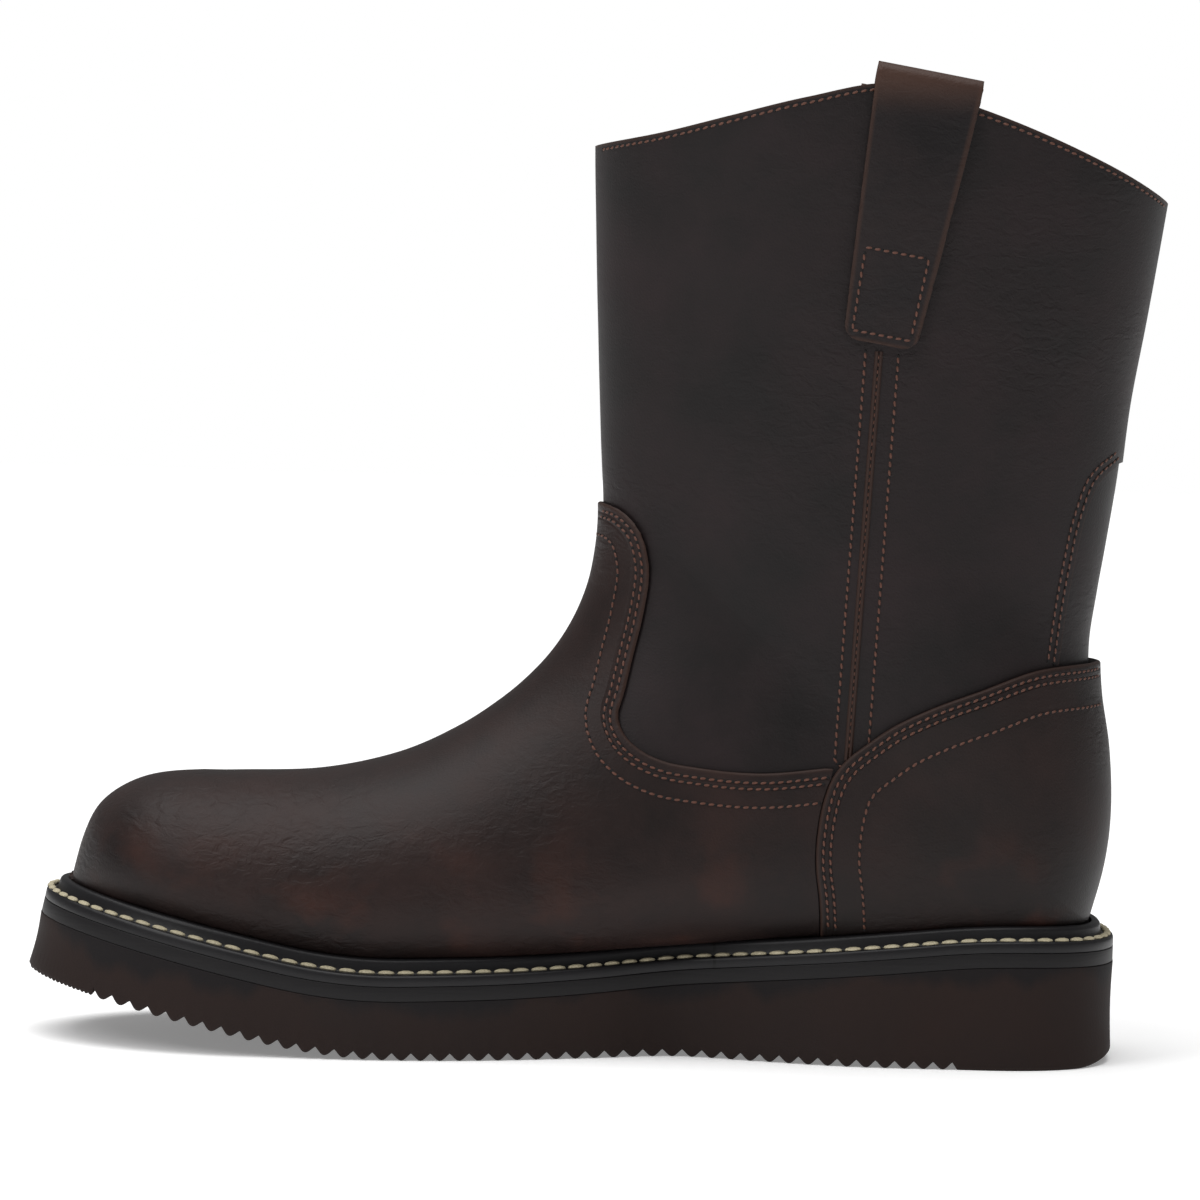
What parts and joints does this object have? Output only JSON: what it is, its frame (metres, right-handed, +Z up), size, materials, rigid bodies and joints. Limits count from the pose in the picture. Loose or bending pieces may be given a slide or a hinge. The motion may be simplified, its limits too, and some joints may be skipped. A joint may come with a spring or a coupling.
{
  "type": "work boot",
  "caption": "Pull-on work boot with a tall leather shaft, pull straps, a storm welt all round and a wedge outsole with a sawtooth tread; stands empty on its sole.",
  "frame": {"origin": "on the floor under the middle of the heel, at the mount heel_rest", "axes": "+X from heel to toe, +Y to the boot's medial side, +Z up"},
  "size_m": [0.3168, 0.1099, 0.278],
  "materials": {
    "brown_rubber": "matte",
    "black_rubber": "matte",
    "welt_rubber": "satin",
    "leather_board": "matte",
    "oiled_leather": "oiled, satin",
    "vamp_leather": "oiled, satin",
    "strap_leather": "matte"
  },
  "bodies": {
    "root": {"outsole": "brown_rubber", "midsole": "black_rubber", "welt": "welt_rubber", "insole": "leather_board", "upper": "oiled_leather", "vamp": "vamp_leather", "counter": "vamp_leather", "pull_strap_medial": "strap_leather", "pull_strap_lateral": "strap_leather", "side_seam_medial": "oiled_leather", "side_seam_lateral": "oiled_leather"}
  },
  "joints": []
}
